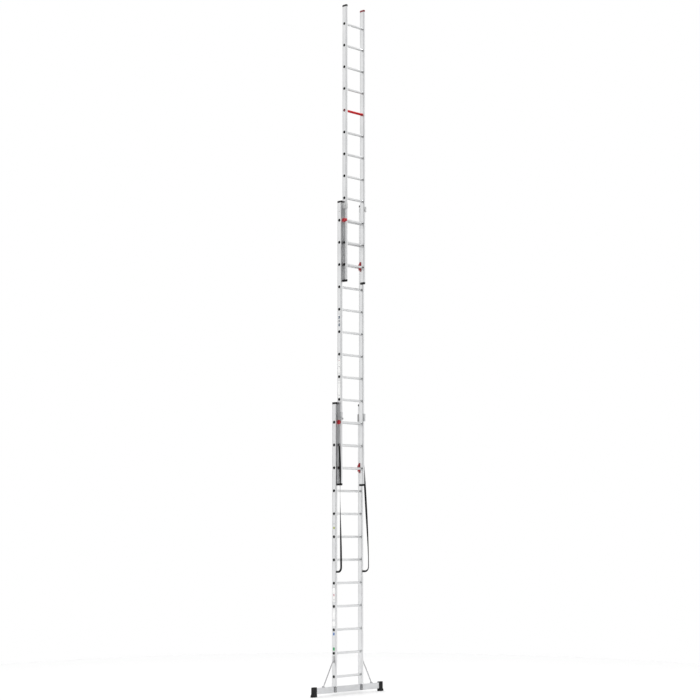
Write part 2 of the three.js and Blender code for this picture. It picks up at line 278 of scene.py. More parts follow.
# The label paper glows a little: painted light that makes it brighter than its lamps do.
LABEL_WHITE_PAINTED_GLOW = moulded("label_white", (0.90, 0.90, 0.89), (0.86, 0.86, 0.85), PAPER_ROUGH, PAPER_GRAIN_MM,
                      glow=0.28)
LABEL_INKS = {
    "grey": (0.50, 0.51, 0.53), "slate": (0.20, 0.25, 0.32), "pink": (0.80, 0.50, 0.53),
    "lime": (0.52, 0.58, 0.10), "blue": (0.06, 0.20, 0.55), "green": (0.05, 0.42, 0.16),
}
INKS = {name: moulded(f"label_{name}", colour, tuple(0.85 * c for c in colour), PAPER_ROUGH,
                      PAPER_GRAIN_MM)
        for name, colour in LABEL_INKS.items()}


# -------------------------------- mesh helpers

def add_piece(name, bm, materials, body, replaces=(), smooth_deg=35):
    """Turns a bmesh into a piece that rides on a body."""
    bmesh.ops.remove_doubles(bm, verts=bm.verts, dist=1e-6)
    bmesh.ops.recalc_face_normals(bm, faces=bm.faces)
    mesh = bpy.data.meshes.new(name)
    bm.to_mesh(mesh)
    bm.free()
    return add_mesh(name, mesh, materials, body, replaces, smooth_deg)


def add_mesh(name, mesh, materials, body, replaces=(), smooth_deg=35):
    """The same for a finished mesh."""
    for material in materials if isinstance(materials, (list, tuple)) else [materials]:
        mesh.materials.append(material)
    mesh.shade_smooth()
    mesh.set_sharp_from_angle(angle=math.radians(smooth_deg))
    piece = bpy.data.objects.new(name, mesh)
    bpy.context.scene.collection.objects.link(piece)
    if body:
        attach(piece, body)
    if replaces:
        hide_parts(*replaces)
    return piece


def rounded_outline(x0, y0, x1, y1, radius, steps=4):
    """A rectangle with round corners, counter-clockwise."""
    centres = ((x1 - radius, y1 - radius, 0), (x0 + radius, y1 - radius, 90),
               (x0 + radius, y0 + radius, 180), (x1 - radius, y0 + radius, 270))
    points = []
    for cx, cy, start in centres:
        for step in range(steps + 1):
            turn = math.radians(start + 90 * step / steps)
            points.append((cx + radius * math.cos(turn), cy + radius * math.sin(turn)))
    return points


def round_edges(bm, edges, radius):
    bmesh.ops.bevel(bm, geom=edges, offset=radius, segments=2, affect="EDGES", profile=0.5,
                    clamp_overlap=True)


def in_xy(x, y, z):
    """Outline in the XY plane, raised along Z."""
    return (x, y, z)


def in_yz(x, y, z):
    """Outline in the YZ plane, thickness along X."""
    return (z, x, y)


def in_xz(x, y, z):
    """Outline in the XZ plane, thickness along Y."""
    return (x, z, y)


def prism(bm, points, low, high, place=in_xy, bevel=0.0):
    """A closed outline raised from low to high; place says where its three numbers go."""
    start = set(bm.faces)
    bottom = [bm.verts.new(place(x, y, low)) for x, y in points]
    top = [bm.verts.new(place(x, y, high)) for x, y in points]
    faces = [bm.faces.new(bottom[::-1]), bm.faces.new(top)]
    rims = list(faces[0].edges) + list(faces[1].edges)
    for i in range(len(points)):
        j = (i + 1) % len(points)
        bm.faces.new((bottom[i], bottom[j], top[j], top[i]))
    if bevel:
        round_edges(bm, rims, bevel)
    return [face for face in bm.faces if face not in start]


def loft(bm, rings):
    """Rings with the same number of points, joined in order and closed at both ends."""
    made = [[bm.verts.new(point) for point in ring] for ring in rings]
    for first, second in zip(made, made[1:]):
        for i in range(len(first)):
            j = (i + 1) % len(first)
            bm.faces.new((first[i], first[j], second[j], second[i]))
    bm.faces.new(made[0][::-1])
    bm.faces.new(made[-1])


def block(bm, low, high, radius, bevel):
    """A box with round corners in plan and bevelled rims."""
    prism(bm, rounded_outline(low[0], low[1], high[0], high[1], radius), low[2], high[2], bevel=bevel)


def turn_to(axis):
    """The turn that brings +Z to axis."""
    return Vector((0, 0, 1)).rotation_difference(Vector(axis)).to_matrix()


def spin(bm, profile, centre, axis, sides=32):
    """A profile of (radius, along) points turned about an axis: a solid of revolution."""
    turn = turn_to(axis)
    rings = []
    for radius, along in profile:
        if radius == 0:
            rings.append([bm.verts.new(Vector(centre) + turn @ Vector((0, 0, along)))])
            continue
        rings.append([bm.verts.new(Vector(centre) + turn @ Vector((
            radius * math.cos(2 * math.pi * i / sides),
            radius * math.sin(2 * math.pi * i / sides), along))) for i in range(sides)])
    # A profile that starts off the axis is a closed ring; one that starts on it also ends on it.
    closed = len(rings[0]) > 1
    pairs = list(zip(rings, rings[1:] + rings[:1])) if closed else list(zip(rings, rings[1:]))
    for first, second in pairs:
        for i in range(sides):
            j = (i + 1) % sides
            corners = [first[i % len(first)], first[j % len(first)],
                       second[j % len(second)], second[i % len(second)]]
            unique = list(dict.fromkeys(corners))
            if len(unique) > 2:
                bm.faces.new(unique)


def bolt(bm, centre, axis, size, height=None):
    """A hex bolt head on a washer, standing out along axis. Its size is the width across flats."""
    height = height or 0.45 * size
    washer = 0.12 * size
    rim = 0.78 * size
    spin(bm, [(0, 0), (rim, 0), (rim, washer * 0.7), (0.72 * size, washer), (0, washer)],
         centre, axis, 24)
    start = set(bm.verts)
    to_corner = size / 2 / math.cos(math.pi / 6)
    hexagon = [(to_corner * math.cos(math.pi / 3 * i), to_corner * math.sin(math.pi / 3 * i))
               for i in range(6)]
    prism(bm, hexagon, washer, washer + height, bevel=0.08 * size)
    head = [vert for vert in bm.verts if vert not in start]
    bmesh.ops.transform(bm, matrix=Matrix.Translation(centre) @ turn_to(axis).to_4x4(), verts=head)


def rivet(bm, centre, axis, radius, crown=0.45):
    """A domed rivet head, crown times as high as its radius."""
    height = crown * radius
    dome = [(radius * math.cos(math.radians(a)), height * math.sin(math.radians(a)))
            for a in (15, 35, 55, 75)]
    spin(bm, [(0, 0), (radius, 0), *dome, (0, height)], centre, axis, 20)


def cut(bm, cutter):
    """bm with cutter taken out, as a new mesh. Both are used up."""
    objects = []
    for label, source in (("solid", bm), ("cutter", cutter)):
        bmesh.ops.recalc_face_normals(source, faces=source.faces)
        mesh = bpy.data.meshes.new(label)
        source.to_mesh(mesh)
        source.free()
        made = bpy.data.objects.new(label, mesh)
        bpy.context.scene.collection.objects.link(made)
        objects.append(made)
    solid, tool = objects
    boolean = solid.modifiers.new("cut", "BOOLEAN")
    boolean.operation = "DIFFERENCE"
    boolean.solver = "EXACT"
    boolean.object = tool
    graph = bpy.context.evaluated_depsgraph_get()
    result = bpy.data.meshes.new_from_object(solid.evaluated_get(graph))
    for made in objects:
        data = made.data
        bpy.data.objects.remove(made)
        bpy.data.meshes.remove(data)
    return result


# -------------------------------- spread straps

STRAP_WIDTH = 25 * MM
STRAP_THICKNESS = 2 * MM
STRAP_STEPS = 220
# The right strap's route, from the middle section down to the front of the bottom stile.
STRAP_ROUTE_MM = [
    (207.2, -2, 3036), (207.2, -3, 3000), (207.6, -9, 2880), (210, -15, 2760), (213.5, -21, 2640),
    (217.5, -27.5, 2520), (222.5, -34, 2380), (227, -40, 2240), (231.5, -48, 2080), (235, -56, 1920),
    (237.5, -62.5, 1760), (239, -66.5, 1630), (239, -67, 1575), (238.7, -67, 1535), (238, -62.7, 1513.6),
    (236.5, -50.6, 1495.4), (234.5, -32.4, 1483.3), (232.5, -11, 1479), (231.5, 5.5, 1479),
    (231, 20.3, 1479),
]
# How far it has turned, in degrees, at a share of its length.
STRAP_TURNS = [(0, 0), (0.16, 0), (0.38, -45), (0.86, 24), (1, 18)]


def strap_turn(at):
    """The turn at a share of the length, eased between the listed ones."""
    for (start, first), (end, last) in zip(STRAP_TURNS, STRAP_TURNS[1:]):
        if at <= end:
            share = (at - start) / (end - start)
            eased = (share + share * share * (3 - 2 * share)) / 2
            return math.radians(first + (last - first) * eased)


def smooth_line(points, steps):
    """Points evenly spaced along a centripetal Catmull-Rom curve, and its length."""
    parts = 24
    ends = [2 * points[0] - points[1], *points, 2 * points[-1] - points[-2]]
    fine = []
    for p0, p1, p2, p3 in zip(ends, ends[1:], ends[2:], ends[3:]):
        t0 = 0.0
        t1 = t0 + math.sqrt((p1 - p0).length)
        t2 = t1 + math.sqrt((p2 - p1).length)
        t3 = t2 + math.sqrt((p3 - p2).length)
        for step in range(parts):
            t = t1 + (t2 - t1) * step / parts
            a1 = p0.lerp(p1, (t - t0) / (t1 - t0))
            a2 = p1.lerp(p2, (t - t1) / (t2 - t1))
            a3 = p2.lerp(p3, (t - t2) / (t3 - t2))
            b1 = a1.lerp(a2, (t - t0) / (t2 - t0))
            b2 = a2.lerp(a3, (t - t1) / (t3 - t1))
            fine.append(b1.lerp(b2, (t - t1) / (t2 - t1)))
    fine.append(points[-1])
    lengths = [0.0]
    for a, b in zip(fine, fine[1:]):
        lengths.append(lengths[-1] + (b - a).length)
    even = []
    at = 0
    for step in range(steps + 1):
        want = lengths[-1] * step / steps
        while at < len(fine) - 2 and lengths[at + 1] < want:
            at += 1
        share = (want - lengths[at]) / (lengths[at + 1] - lengths[at])
        even.append(fine[at].lerp(fine[at + 1], min(share, 1)))
    return even, lengths[-1]


def strap(side, sign):
    route = [Vector((sign * x, y, z)) * MM for x, y, z in STRAP_ROUTE_MM]
    line, length = smooth_line(route, STRAP_STEPS)
    # Seen end-on: a flat band with rounded selvedges and a shallow rib along each edge.
    # (distance in from the edge, share of half the thickness)
    half, thick = STRAP_WIDTH / 2, STRAP_THICKNESS / 2
    edge = [(0, 0.35), (0.7 * MM, 0.9), (2 * MM, 1.0), (3 * MM, 0.72)]
    face = [(-half + u, v) for u, v in edge] + [(half - u, v) for u, v in reversed(edge)]
    section = [(u, v * thick) for u, v in face] + [(u, -v * thick) for u, v in reversed(face)]
    bm = bmesh.new()
    rings = []
    for i, middle in enumerate(line):
        ahead = (line[min(i + 1, len(line) - 1)] - line[max(i - 1, 0)]).normalized()
        turn = strap_turn(i / (len(line) - 1))
        sideways = Vector((sign, 0, 0))
        across = sideways.cross(ahead) * (sign * math.cos(turn)) + sideways * math.sin(turn)
        across = (across - ahead * across.dot(ahead)).normalized()
        through = ahead.cross(across)
        rings.append([bm.verts.new(middle + across * u + through * v) for u, v in section])
    for first, second in zip(rings, rings[1:]):
        for i in range(len(section)):
            j = (i + 1) % len(section)
            bm.faces.new((first[i], first[j], second[j], second[i]))
    bm.faces.new(rings[0])
    bm.faces.new(rings[-1][::-1])
    piece = add_piece(f"{side}_strap_webbing", bm, WEBBING, None, [f"{side}_strap"])
    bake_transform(piece)
    return line


strap_lines = {side: strap(side, sign) for side, sign in SIDES}


# -------------------------------- stiles

CAP_HEIGHT = 26 * MM
CAP_OVERLAP = 0.3 * MM  # how far the stile reaches into its cap
CORNER = 3 * MM
GROOVE_DEPTH = 0.9 * MM
GROOVE_INSET = 10 * MM  # from the stile's narrow face to the middle of the groove
RUNG_RADIUS = 15 * MM
HOLE_RADIUS = RUNG_RADIUS + 0.1 * MM
HOLE_REACH = 30 * MM  # each way, more than half the stile's width
HOLE_SIDES = 48


def middle_of(node):
    low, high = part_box(node)
    return (low + high) / 2


def stile_outline(low, high):
    """The extrusion's outline, with two grooves in each wide face."""
    def grooves(x, inwards):
        points = []
        for y in (low.y + GROOVE_INSET, high.y - GROOVE_INSET):
            points += [(x, y - 2.2 * MM), (x + inwards * GROOVE_DEPTH, y - 1.2 * MM),
                       (x + inwards * GROOVE_DEPTH, y + 1.2 * MM), (x, y + 2.2 * MM)]
        return points

    corners = rounded_outline(low.x, low.y, high.x, high.y, CORNER)
    half = len(corners) // 2
    return corners[:half] + grooves(low.x, 1)[::-1] + corners[half:] + grooves(high.x, -1)


def stile(section, side):
    node = f"{side}_{section}_stile"
    low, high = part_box(node)
    bottom = low.z if section == "bottom" else low.z + CAP_HEIGHT - CAP_OVERLAP
    top = high.z - CAP_HEIGHT + CAP_OVERLAP
    bm = bmesh.new()
    prism(bm, stile_outline(low, high), bottom, top)
    holes = bmesh.new()
    hole = [(0, -HOLE_REACH), (HOLE_RADIUS, -HOLE_REACH), (HOLE_RADIUS, HOLE_REACH), (0, HOLE_REACH)]
    for number in range(1, RUNGS + 1):
        rung_middle = middle_of(f"{section}_rung_{number:02d}")
        spin(holes, hole, ((low.x + high.x) / 2, rung_middle.y, rung_middle.z), (1, 0, 0), HOLE_SIDES)
    mesh = cut(bm, holes)
    add_mesh(f"{node}_extrusion", mesh, STILE_METAL, body_name(section), [node])


def stile_cap(section, side, at_top, material):
    """A moulded cap over the end of a stile: a lip where it meets the metal, and a crowned lid."""
    low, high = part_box(f"{side}_{section}_stile")
    end, into = (high.z, -1) if at_top else (low.z, 1)
    # (distance from the end, how far it stands outside the stile in millimetres)
    profile = [(CAP_HEIGHT, 0.1), (CAP_HEIGHT - 0.6 * MM, 0.9), (CAP_HEIGHT - 3.4 * MM, 0.9),
               (CAP_HEIGHT - 4.2 * MM, 0.4), (6 * MM, 0.4), (3.4 * MM, 0.0), (1.6 * MM, -0.9),
               (0.6 * MM, -2.2), (0.1 * MM, -4.0), (0, -6.5)]
    bm = bmesh.new()
    rings = []
    for depth, out_mm in profile:
        out = out_mm * MM
        front, back = max(low.y - out, cad_box[0][1]), min(high.y + out, cad_box[1][1])
        outline = rounded_outline(low.x - out, front, high.x + out, back, CORNER + 1 * MM)
        rings.append([(x, y, end + into * depth) for x, y in outline])
    loft(bm, rings)
    where = "top" if at_top else "lower"
    add_piece(f"{side}_{section}_{where}_cap", bm, material, body_name(section),
              [f"{side}_{section}_stile"])


for section in SECTIONS:
    for side, _ in SIDES:
        stile(section, side)
        top_colour = DARK_RED if (section, side) == ("top", "right") else BLACK_PLASTIC
        stile_cap(section, side, True, top_colour)
        if section != "bottom":
            stile_cap(section, side, False, BLACK_PLASTIC)


# -------------------------------- rungs

RED_RUNG = "top_rung_08"
RIBS = 24
RIB_DEPTH = 0.55 * MM
TUBE_RADIUS = RUNG_RADIUS - 0.2 * MM
TUBE_SLOT, PLUG_SLOT = 0, 1


def rung(section, number):
    """A ribbed tube with a bead inside each stile and a plug with a flange outside it, the plug coloured
    with painted shade of the tube's unlit bore.
    """
    node = f"{section}_rung_{number:02d}"
    middle = middle_of(node)
    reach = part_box(node)[1].x
    inner, outer = (corner.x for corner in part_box(f"right_{section}_stile"))
    plain = TUBE_RADIUS
    # The lowest rung of a sliding section has no beads, because the hooks swing close to it.
    bead = 0 if number == 1 and section != "bottom" else 1 * MM
    # (distance from the middle, radius), from the middle out
    tube = [(inner - 8 * MM, plain), (inner - 6.5 * MM, plain), (inner - 4 * MM, plain),
            (inner - 3.4 * MM, plain + 2.8 * bead), (inner - 2.6 * MM, plain + 3.6 * bead),
            (inner - 0.6 * MM, plain + 3.8 * bead), (inner - 0.1 * MM, plain + 3.4 * bead),
            (inner - 0.1 * MM, plain), (outer + 0.05 * MM, plain), (outer + 0.05 * MM, 18.2 * MM)]
    plug = [(outer + 0.6 * MM, 18.4 * MM), (reach, 17.4 * MM), (reach, 16.2 * MM),
            (reach - 0.5 * MM, 15.8 * MM), (reach - 0.3 * MM, 15.2 * MM), (reach - 0.2 * MM, 11 * MM),
            (reach - 0.9 * MM, 10 * MM), (reach - 1.1 * MM, 3 * MM)]
    half = tube + plug
    whole = [(-x, radius) for x, radius in reversed(half)] + half
    ribbed = (len(half) - 1, len(half))  # the rings at both ends of the ribs
    sides = RIBS * 4
    bm = bmesh.new()
    rings = []
    for k, (x, radius) in enumerate(whole):
        ring = []
        for i in range(sides):
            turn = 2 * math.pi * i / sides
            at = radius - RIB_DEPTH if k in ribbed and i % 4 < 2 else radius
            ring.append(bm.verts.new((x, middle.y + at * math.cos(turn),
                                      middle.z + at * math.sin(turn))))
        rings.append(ring)
    bm.faces.new(rings[0][::-1]).material_index = PLUG_SLOT
    bm.faces.new(rings[-1]).material_index = PLUG_SLOT
    bands = len(rings) - 1
    for k, (first, second) in enumerate(zip(rings, rings[1:])):
        in_plug = k < len(plug) - 1 or k >= bands - (len(plug) - 1)
        for i in range(sides):
            j = (i + 1) % sides
            face = bm.faces.new((first[i], first[j], second[j], second[i]))
            face.material_index = PLUG_SLOT if in_plug else TUBE_SLOT
    red = node == RED_RUNG
    metal, slot = (RED_PAINT, "red_rung") if red else (RUNG_METAL, "rung_aluminium")
    # The plug carries painted shade of the tube's unlit bore: near black, or dark red on the red rung.
    bore_shade_colour = DARK_RED if red else PLUG_PAINTED_BORE_SHADE
    add_piece(f"{node}_tube", bm, [metal, bore_shade_colour], body_name(section), [node], smooth_deg=24)


for section in SECTIONS:
    for number in range(1, RUNGS + 1):
        rung(section, number)


# -------------------------------- crossbar

FLUTE_DEPTH = 1.1 * MM
FLUTE_INSET = 17 * MM  # from the beam's edge to the middle of the outer flute, and to a saddle's bolt


def crossbar():
    """A beam whose wide faces have three broad flutes each."""
    low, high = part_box("crossbar")

    def flutes(y, inwards):
        points = []
        for z in (low.z + FLUTE_INSET, (low.z + high.z) / 2, high.z - FLUTE_INSET):
            points += [(y, z - 7 * MM), (y + inwards * FLUTE_DEPTH, z - 6 * MM),
                       (y + inwards * FLUTE_DEPTH, z + 6 * MM), (y, z + 7 * MM)]
        return points

    corners = rounded_outline(low.y, low.z, high.y, high.z, 4 * MM)
    half = len(corners) // 2
    outline = corners[:half] + flutes(low.y, 1)[::-1] + corners[half:] + flutes(high.y, -1)
    bm = bmesh.new()
    prism(bm, outline, low.x, high.x, place=in_yz)
    add_piece("crossbar_extrusion", bm, BEAM_METAL, "bottom_section", ["crossbar"])


def saddle(side):
    """A plate with two bolts on the front and back of the crossbar, where a stile stands on it."""
    low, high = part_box("crossbar")
    x = middle_of(f"{side}_bottom_stile").x
    half = 21 * MM
    plate = rounded_outline(x - half, low.z + 1 * MM, x + half, high.z - 0.5 * MM, 5 * MM)
    plates, bolts = bmesh.new(), bmesh.new()
    for y, outward in ((low.y, -1), (high.y, 1)):
        face = y + outward * 3.2 * MM
        y0, y1 = sorted((y + outward * 0.2 * MM, face))
        prism(plates, plate, y0, y1, place=in_xz, bevel=0.8 * MM)
        for z in (low.z + FLUTE_INSET, high.z - FLUTE_INSET):
            bolt(bolts, Vector((x, face, z)), (0, outward, 0), 11 * MM)
    add_piece(f"{side}_saddle", plates, SADDLE_METAL, "bottom_section")
    add_piece(f"{side}_saddle_bolts", bolts, STEEL, "bottom_section")


crossbar()
for side, _ in SIDES:
    saddle(side)


# -------------------------------- feet and struts

# Height, inner end, outer end, half depth and corner radius of a foot, in millimetres.
FOOT_RINGS_MM = [
    (0, 533, 617, 18.5, 18), (0.8, 530.5, 619.5, 21, 20.5), (4, 528.4, 621.6, 22.7, 22),
    (9, 528, 622, 23, 22.5), (9.6, 528.9, 621.1, 22.1, 21.8), (11.4, 528.9, 621.1, 22.1, 21.8),
    (12, 528, 622, 23, 22.5), (17, 528.2, 621.6, 22.8, 22), (23, 529.5, 618, 21.8, 19),
    (30, 532.5, 611, 20, 14), (37, 535, 606.8, 18.6, 9), (44, 536, 605, 18, 6),
    (97, 536, 605, 18, 6), (97.8, 537, 604, 17, 5.4), (100.2, 537, 604, 17, 5.4), (101, 536, 605, 18, 6),
    (111, 536, 605, 18, 6), (114, 536.8, 604.2, 17.2, 6), (116.2, 538.6, 602.4, 15.4, 6),
    (117, 542, 599, 12, 6),
]
FOOT_SCREW_MM = (570, 18, 72)  # its X, its distance from the foot's middle in Y, and its Z


def foot(side, sign):
    centre_y = middle_of(f"{side}_foot").y
    bm = bmesh.new()
    rings = []
    for z, inner, outer, half, radius in FOOT_RINGS_MM:
        outline = rounded_outline(inner * MM, centre_y - half * MM, outer * MM, centre_y + half * MM,
                                  radius * MM, steps=8)
        rings.append([(sign * x, y, z * MM) for x, y in outline])
    loft(bm, rings)
    add_piece(f"{side}_foot_boot", bm, RUBBER, "bottom_section", [f"{side}_foot"])
    screws = bmesh.new()
    x, out, z = (value * MM for value in FOOT_SCREW_MM)
    for outward in (-1, 1):
        bolt(screws, Vector((sign * x, centre_y + outward * out, z)), (0, outward, 0), 7 * MM, 2 * MM)
    add_piece(f"{side}_foot_screws", screws, BLACK_PLASTIC, "bottom_section")


STRUT_LOW_MM = (415, 112)  # where its axis meets the shoe: X and Z
STRUT_HIGH_MM = (242.3, 430)
STRUT_SIDES = 28
# (share of its length, half width along Y, half thickness): flattened ends and an oval tube
STRUT_SHAPE_MM = [
    (0.0, 9, 1.6), (0.045, 9, 1.7), (0.085, 8.3, 4.4), (0.12, 7.5, 7.2), (0.88, 7.5, 7.2),
    (0.915, 8.3, 4.4), (0.955, 9, 1.7), (1.0, 9, 1.6),
]
# Half widths and heights of the shoe's two lugs.
LUG_MM = [(13, 3), (9, 12), (4, 14)]
STRUT_PLATE_MM = (385, 470)  # lower and upper edge of the plate on the stile
STRUT_PLATE_THICKNESS = 2.8 * MM


def strut(side, sign):
    """A tube with flattened ends, its shoe on the crossbar and its plate on the stile."""
    y = middle_of(f"{side}_strut").y
    beam_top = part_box("crossbar")[1].z
    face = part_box("right_bottom_stile")[1].x + 0.3 * MM
    start = Vector((sign * STRUT_LOW_MM[0] * MM, y, STRUT_LOW_MM[1] * MM))
    end = Vector((sign * STRUT_HIGH_MM[0] * MM, y, STRUT_HIGH_MM[1] * MM))
    ahead = (end - start).normalized()
    flat = Vector((0, 1, 0))
    through = ahead.cross(flat)
    bm = bmesh.new()
    rings = []
    for share, wide, thick in STRUT_SHAPE_MM:
        centre = start.lerp(end, share)
        turns = (2 * math.pi * i / STRUT_SIDES for i in range(STRUT_SIDES))
        rings.append([centre + flat * (wide * MM * math.cos(a)) + through * (thick * MM * math.sin(a))
                      for a in turns])
    loft(bm, rings)
    shoe_half = 12 * MM
    block(bm, (start.x - 17 * MM, y - shoe_half, beam_top + 0.3 * MM),
          (start.x + 17 * MM, y + shoe_half, beam_top + 3.3 * MM), 4 * MM, 0.6 * MM)
    lug_mm = [(-LUG_MM[0][0], LUG_MM[0][1]), *LUG_MM, *((-x, z) for x, z in reversed(LUG_MM[1:]))]
    lug = [(start.x + x * MM, beam_top + z * MM) for x, z in lug_mm]
    lug_thickness = 2.6 * MM
    for edge in (-shoe_half, shoe_half - lug_thickness):
        prism(bm, lug, y + edge, y + edge + lug_thickness, place=in_xz, bevel=0.5 * MM)
    plate_low, plate_high = (z * MM for z in STRUT_PLATE_MM)
    plate = rounded_outline(y - 14 * MM, plate_low, y + 14 * MM, plate_high, 7 * MM)
    x0, x1 = sorted((sign * face, sign * (face + STRUT_PLATE_THICKNESS)))
    prism(bm, plate, x0, x1, place=in_yz, bevel=0.6 * MM)
    add_piece(f"{side}_strut_bar", bm, STRUT_METAL, "bottom_section", [f"{side}_strut"])
    bolts = bmesh.new()
    for z in (plate_low + 11 * MM, plate_high - 11 * MM):
        head = Vector((sign * (face + STRUT_PLATE_THICKNESS), y, z))
        bolt(bolts, head, (sign, 0, 0), 8 * MM, 2.2 * MM)
    add_piece(f"{side}_strut_bolts", bolts, STEEL, "bottom_section")


for side, sign in SIDES:
    foot(side, sign)
    strut(side, sign)


# -------------------------------- guides

LIP = 5.5 * MM
PLATE = 1.8 * MM
GUIDE_WALL = 15 * MM
SLIDE_GAP = 1.5 * MM
FIT_GAP = 0.3 * MM  # between parts that are bolted together
RIB_HALF = 2 * MM
SCREW_SHARE = 0.22  # of the guide's height, from its ends to its screws
# A horn's rings from root to tip, in millimetres: lift, height and inset at both sides.
HORN_MM = [(0, 26, 0), (0, 25, 0.5), (2, 20, 1.5), (4, 15, 3), (6, 11, 4.2)]


def guide_horn(bm, low, lip_x, root_y, sign):
    """A forward tongue at the foot of a guide's plate, thinner and rounded towards its tip."""
    x0, x1 = sorted((sign * lip_x, sign * (lip_x + 13 * MM)))
    along = (root_y, low.y + 9 * MM, low.y + 3.5 * MM, low.y + 1 * MM, low.y)
    rings = []
    for y, (lift, tall, inset) in zip(along, HORN_MM):
        ring = rounded_outline(x0 + inset * MM, low.z + lift * MM, x1 - inset * MM,
                               low.z + (lift + tall) * MM, 2 * MM)
        rings.append([(x, y, z) for x, z in ring])
    loft(bm, rings)


def guide(below, above, side, sign, flange_reach, body_material, plate_material, horn):
    """A shoe bolted to the lower stile, with a plate in front of the sliding one."""
    node = f"{side}_{below}_guide"
    low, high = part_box(node)
    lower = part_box(f"right_{below}_stile")
    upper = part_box(f"right_{above}_stile")
    lower_front = lower[0].y - FIT_GAP
    upper_front = upper[0].y - SLIDE_GAP
    outer_x = lower[1].x
    flange_x = lower[0].x - FIT_GAP
    slide_x = upper[1].x + SLIDE_GAP
    lip_x = upper[0].x + 3 * MM
    flange_back = (lower[0].y + lower[1].y) / 2 + flange_reach
    back_of_plate = upper_front - LIP + PLATE + 1.4 * MM
    wall_x = slide_x + GUIDE_WALL
    outline = [(wall_x, lower_front), (flange_x, lower_front), (flange_x, flange_back),
               (slide_x, flange_back), (slide_x, upper_front), (lip_x, upper_front),
               (lip_x, back_of_plate), (wall_x - 3 * MM, back_of_plate), (wall_x, back_of_plate + 3 * MM)]
    bm = bmesh.new()
    prism(bm, [(sign * x, y) for x, y in outline], low.z, high.z, bevel=0.9 * MM)
    # Ribs stiffen the outer wall.
    rib = [(wall_x + 1.2 * MM, lower_front - 3 * MM), (wall_x - 1.5 * MM, lower_front - 2 * MM),
           (wall_x - 1.5 * MM, back_of_plate + 4 * MM), (wall_x + 1.2 * MM, back_of_plate + 7 * MM)]
    for share in (0.16, 0.5, 0.84):
        z = low.z + share * (high.z - low.z)
        prism(bm, [(sign * x, y) for x, y in rib], z - RIB_HALF, z + RIB_HALF)
    add_piece(f"{node}_shoe", bm, body_material, body_name(below), [node])
    plate = bmesh.new()
    x0, x1 = sorted((sign * (lip_x + 1 * MM), sign * (wall_x - 3.5 * MM)))
    front = rounded_outline(x0, low.z + 2 * MM, x1, high.z - 2 * MM, 4 * MM)
    prism(plate, front, back_of_plate - PLATE, back_of_plate, place=in_xz, bevel=0.4 * MM)
    if horn:
        guide_horn(plate, low, lip_x, back_of_plate, sign)
    add_piece(f"{node}_plate", plate, plate_material, body_name(below))
    screws = bmesh.new()
    inset = SCREW_SHARE * (high.z - low.z)
    for z, over_horn in ((low.z + inset, horn), (high.z - inset, False)):
        if not over_horn:
            bolt(screws, Vector((sign * (lip_x + 16 * MM), back_of_plate - PLATE, z)), (0, -1, 0), 6 * MM,
                 1.1 * MM)
        bolt(screws, Vector((sign * slide_x, flange_back - 9 * MM, z)), (-sign, 0, 0), 8 * MM, 3 * MM)
        rivet(screws, Vector((sign * outer_x, lower[0].y + 12 * MM, z)), (sign, 0, 0), 4 * MM)
    add_piece(f"{node}_screws", screws, STEEL, body_name(below))


for side, sign in SIDES:
    guide("bottom", "middle", side, sign, 34 * MM, GREY_PLASTIC, GUIDE_PLATE, horn=True)
    guide("middle", "top", side, sign, 14 * MM, PALE_GUIDE, PALE_GUIDE, horn=False)


# -------------------------------- stops and rung hooks

CLIP_HALF_HEIGHT = 17 * MM
CLIP_THICKNESS = 2.2 * MM


def stop_rod(section):
    """A rod through a rung, with a round head outside each stile."""
    node = f"{section}_stop_rod"
    middle = middle_of(node)
    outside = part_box(node)[1].x
    stile_low, stile_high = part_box(f"right_{section}_stile")
    inside = stile_high.x + 1.5 * MM
    # (radius in millimetres, distance from the middle), from the rod out over the head's face
    half = [(11, inside), (27, inside), (27, outside - 1.8 * MM), (25.4, outside - 0.2 * MM),
            (21.5, outside), (20.6, outside - 0.9 * MM), (13.5, outside - 0.9 * MM), (12.6, outside),
            (6, outside), (5, outside - 1.6 * MM), (0, outside - 1.6 * MM)]
    profile = [(r * MM, -x) for r, x in reversed(half)] + [(r * MM, x) for r, x in half]
    bm = bmesh.new()
    spin(bm, profile, (0, middle.y, middle.z), (1, 0, 0), 48)
    if section == "top":
        # A clip runs from the left head round the front corner of its stile.
        back, front, edge = middle.y - 19 * MM, stile_low.y - 2.4 * MM, stile_low.x + 11 * MM
        outer, face = stile_high.x + 3.4 * MM, stile_high.x + 0.2 * MM
        clip = [(outer, back), (outer, front), (edge, front), (edge, front + CLIP_THICKNESS),
                (face, front + CLIP_THICKNESS), (face, back)]
        prism(bm, [(-x, y) for x, y in clip], middle.z - CLIP_HALF_HEIGHT, middle.z + CLIP_HALF_HEIGHT,
              bevel=0.7 * MM)
    add_piece(f"{section}_stop", bm, RED_KNOB, body_name(section), [node])


# The hook's outline and pivot are (y, z) in millimetres from the middle of the lower rung.
HOOK_THICKNESS = 8 * MM
HOOK_PIVOT = (-27, -42)
HOOK_EYE = 11
HOOK_OPENS_DEG = 16
OWN_RUNG_Y = -53
HOOK_CLEAR_RADIUS = 16
HOOK_CUTS = 5  # how often the rungs' clearance is cut over the hook's swing
HOOK_CUT_FROM_TO = (-4 * MM, 12 * MM)  # past both faces of the plate


def largest_island(bm):
    """The largest set of joined points."""
    left = set(bm.verts)
    islands = []
    while left:
        island, front = set(), [left.pop()]
        while front:
            vert = front.pop()
            island.add(vert)
            for edge in vert.link_edges:
                other = edge.other_vert(vert)
                if other in left:
                    left.discard(other)
                    front.append(other)
        islands.append(island)
    return max(islands, key=len)


